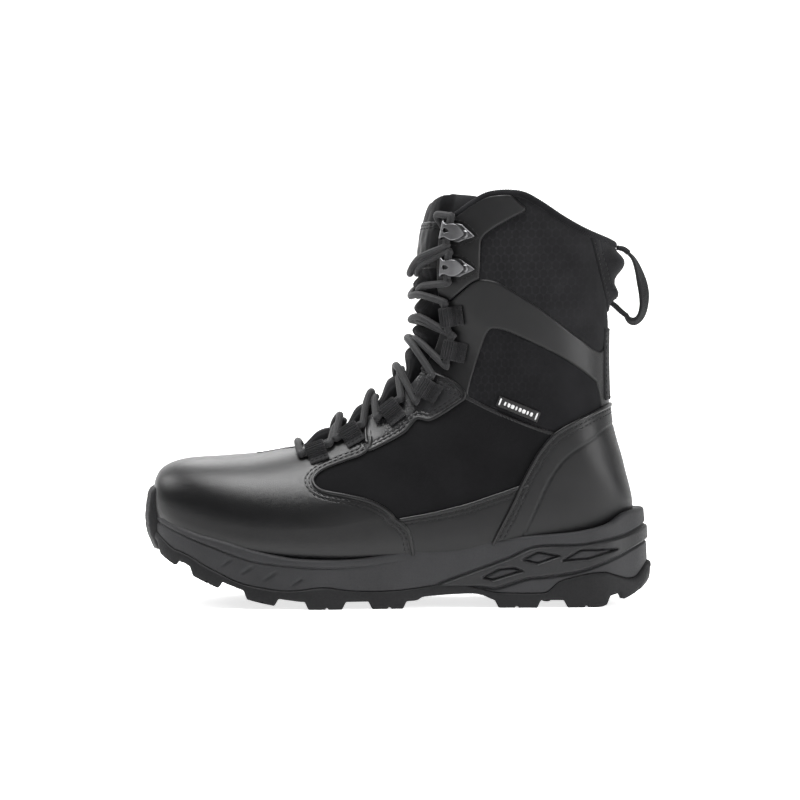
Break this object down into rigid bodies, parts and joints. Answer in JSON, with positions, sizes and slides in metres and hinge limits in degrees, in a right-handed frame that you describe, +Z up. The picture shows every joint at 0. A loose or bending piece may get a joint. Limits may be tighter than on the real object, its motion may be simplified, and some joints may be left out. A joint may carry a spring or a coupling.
{
  "type": "lace-up safety work boot",
  "caption": "Black lace-up safety boot for the left foot with a padded collar, webbing lace loops, speed hooks, heel pull loop and lugged sole.",
  "frame": {"origin": "centre of the bounding box in plan, on the ground plane under the lugs", "axes": "+X from toe to heel, -Y the outer side of the left foot, +Z up the shaft"},
  "size_m": [0.311, 0.1108, 0.2515],
  "materials": {
    "outsole_rubber": "moulded black rubber, matt",
    "midsole_rubber": "moulded black sole foam, matt",
    "frame_plastic": "dark grey moulded plastic, satin",
    "steel": "pressed steel",
    "board": "stiff board",
    "footbed_foam": "fabric-covered foam",
    "gasket_rubber": "soft rubber strip",
    "lining_fabric": "fine mesh fabric",
    "leather": "black tumbled leather, fine grain",
    "gloss_leather": "black smooth leather, slightly glossy",
    "panel_fabric": "dense black woven fabric",
    "webbing": "ribbed black webbing",
    "padding_foam": "foam padding",
    "binding_fabric": "ribbed edge binding",
    "tongue_fabric": "padded matt fabric",
    "lace_cord": "round braided lace",
    "hook_metal": "grey satin metal",
    "label_plastic": "light printed tab"
  },
  "bodies": {
    "boot": {"outsole": "outsole_rubber", "midsole": "midsole_rubber", "heel_frame": "frame_plastic", "shank": "steel", "insole_board": "board", "steel_toe_cap": "steel", "toe_cap_gasket": "gasket_rubber", "heel_stiffener": "board", "lining": "lining_fabric", "vamp": "leather", "quarter_lateral": "leather", "quarter_medial": "leather", "side_strip_lateral": "leather", "side_strip_medial": "leather", "eyestay_lateral": "gloss_leather", "eyestay_medial": "gloss_leather", "heel_counter": "leather", "shaft_band_lateral": "leather", "shaft_band_medial": "leather", "ankle_panel_lateral": "panel_fabric", "ankle_panel_medial": "panel_fabric", "collar_panel_lateral": "panel_fabric", "collar_panel_medial": "panel_fabric", "hook_panel_lateral": "leather", "hook_panel_medial": "leather", "achilles_pad": "panel_fabric", "achilles_bolster": "panel_fabric", "back_stay": "webbing", "collar_foam_lateral": "padding_foam", "collar_foam_medial": "padding_foam", "collar_binding": "binding_fabric", "tongue_body": "tongue_fabric", "tongue_ridge": "tongue_fabric", "lace": "lace_cord", "lace_loops_lateral": "webbing", "lace_loops_medial": "webbing", "lace_hooks_lateral": "hook_metal", "lace_hooks_medial": "hook_metal", "hook_rivets": "hook_metal", "pull_loop_anchors": "webbing", "side_label": "label_plastic"},
    "tongue_upper": {"tongue_top": "tongue_fabric", "tongue_patch": "leather"},
    "footbed": {"footbed": "footbed_foam"},
    "pull_loop": {"pull_loop": "webbing"}
  },
  "joints": [
    {"name": "tongue_fold", "type": "hinge", "parent": "boot", "child": "tongue_upper", "pos_m": [0.02, 0, 0.2002], "axis": [0, 1, 0], "range_deg": [0, 14]},
    {"name": "footbed_lift", "type": "hinge", "parent": "boot", "child": "footbed", "pos_m": [-0.126, 0, 0.0405], "axis": [0, -1, 0], "range_deg": [0, 4]},
    {"name": "pull_loop_swing", "type": "hinge", "parent": "boot", "child": "pull_loop", "pos_m": [0.1405, 0, 0.1943], "axis": [0.0505, 0, 0.9987], "range_deg": [-20, 20]}
  ]
}
